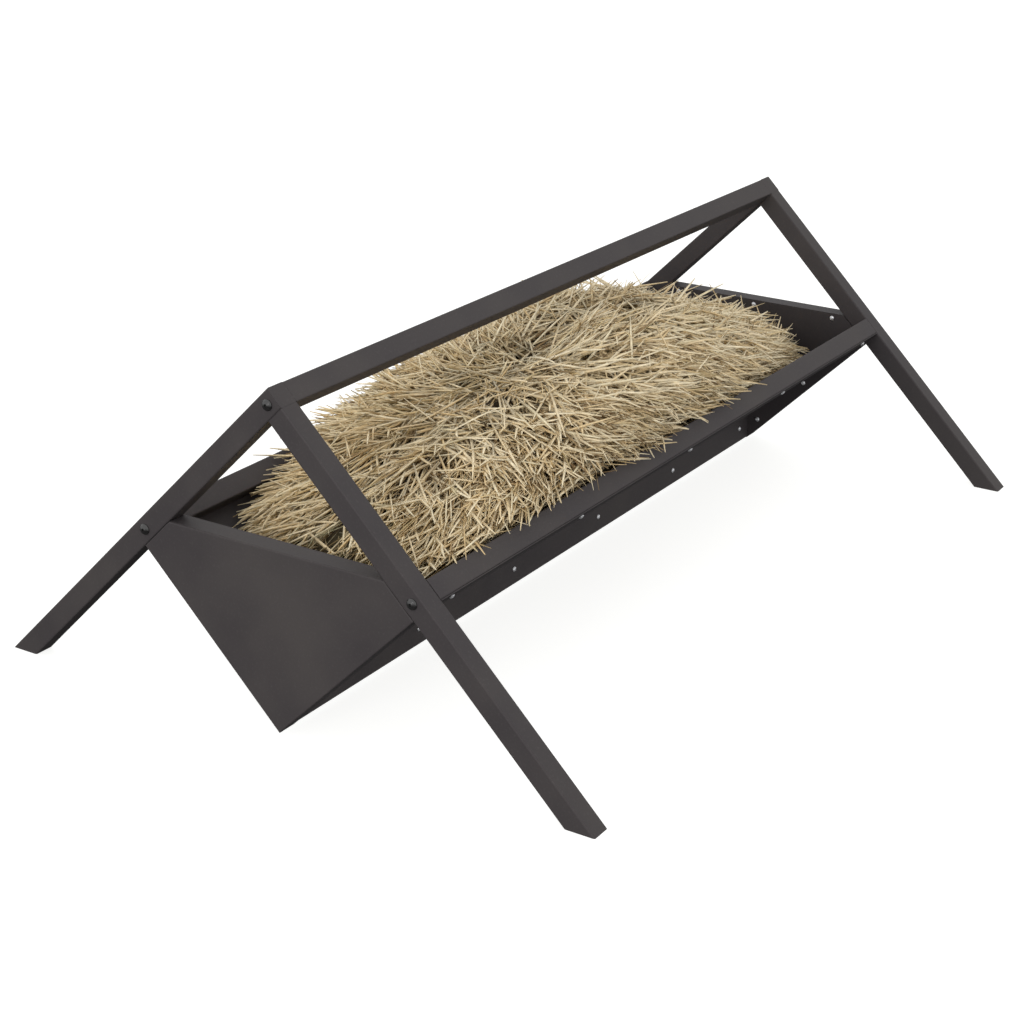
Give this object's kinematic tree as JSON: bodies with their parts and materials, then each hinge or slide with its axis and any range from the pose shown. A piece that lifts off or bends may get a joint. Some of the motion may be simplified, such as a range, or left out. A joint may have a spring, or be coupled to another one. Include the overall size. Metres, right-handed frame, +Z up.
{
  "type": "hay rack feeder",
  "caption": "Free-standing hay rack feeder: V-shaped sheet-steel trough slung between two A-shaped square-tube end frames under a ridge tube, heaped with hay.",
  "frame": {"origin": "centre of the feeder's footprint at floor level, under the middle of the ridge", "axes": "+X along the ridge from the near end to the far end, +Y to the back, +Z up"},
  "size_m": [1.8212, 1.24, 0.62],
  "materials": {
    "anthracite_powder_coat": "matte",
    "black_oxide": "satin",
    "bright_zinc": "polished",
    "dry_hay": "matte"
  },
  "bodies": {
    "frame": {"back_panel": "anthracite_powder_coat", "back_rail": "anthracite_powder_coat", "back_rail_screw_1": "bright_zinc", "back_rail_screw_2": "bright_zinc", "back_rail_screw_3": "bright_zinc", "back_rail_screw_4": "bright_zinc", "back_rail_screw_5": "bright_zinc", "far_back_frame_bolt": "black_oxide", "far_back_leg": "anthracite_powder_coat", "far_end_liner": "anthracite_powder_coat", "far_end_pan": "anthracite_powder_coat", "far_front_frame_bolt": "black_oxide", "far_front_leg": "anthracite_powder_coat", "far_liner_screw_1": "bright_zinc", "far_liner_screw_2": "bright_zinc", "far_liner_screw_3": "bright_zinc", "far_liner_screw_4": "bright_zinc", "far_liner_screw_5": "bright_zinc", "far_liner_screw_6": "bright_zinc", "far_liner_screw_7": "bright_zinc", "far_ridge_frame_bolt": "black_oxide", "flange_bolt_1": "bright_zinc", "flange_bolt_2": "bright_zinc", "flange_bolt_3": "bright_zinc", "flange_bolt_4": "bright_zinc", "flange_bolt_5": "bright_zinc", "flange_bolt_6": "bright_zinc", "flange_nut_1": "bright_zinc", "flange_nut_2": "bright_zinc", "flange_nut_3": "bright_zinc", "flange_nut_4": "bright_zinc", "flange_nut_5": "bright_zinc", "flange_nut_6": "bright_zinc", "front_panel": "anthracite_powder_coat", "front_rail": "anthracite_powder_coat", "front_rail_screw_1": "bright_zinc", "front_rail_screw_2": "bright_zinc", "front_rail_screw_3": "bright_zinc", "front_rail_screw_4": "bright_zinc", "front_rail_screw_5": "bright_zinc", "near_back_frame_bolt": "black_oxide", "near_back_leg": "anthracite_powder_coat", "near_end_liner": "anthracite_powder_coat", "near_end_pan": "anthracite_powder_coat", "near_front_frame_bolt": "black_oxide", "near_front_leg": "anthracite_powder_coat", "near_liner_screw_1": "bright_zinc", "near_liner_screw_2": "bright_zinc", "near_liner_screw_3": "bright_zinc", "near_liner_screw_4": "bright_zinc", "near_liner_screw_5": "bright_zinc", "near_liner_screw_6": "bright_zinc", "near_liner_screw_7": "bright_zinc", "near_ridge_frame_bolt": "black_oxide", "ridge_tube": "anthracite_powder_coat"},
    "hay_front": {"hay_front": "dry_hay"},
    "hay_back": {"hay_back": "dry_hay"}
  },
  "joints": [
    {"name": "hay_front_lift", "type": "slide", "parent": "frame", "child": "hay_front", "axis": [0, -0.2873, 0.9578], "range_m": [0, 0.55]},
    {"name": "hay_back_lift", "type": "slide", "parent": "frame", "child": "hay_back", "axis": [0, 0.2873, 0.9578], "range_m": [0, 0.55]}
  ]
}
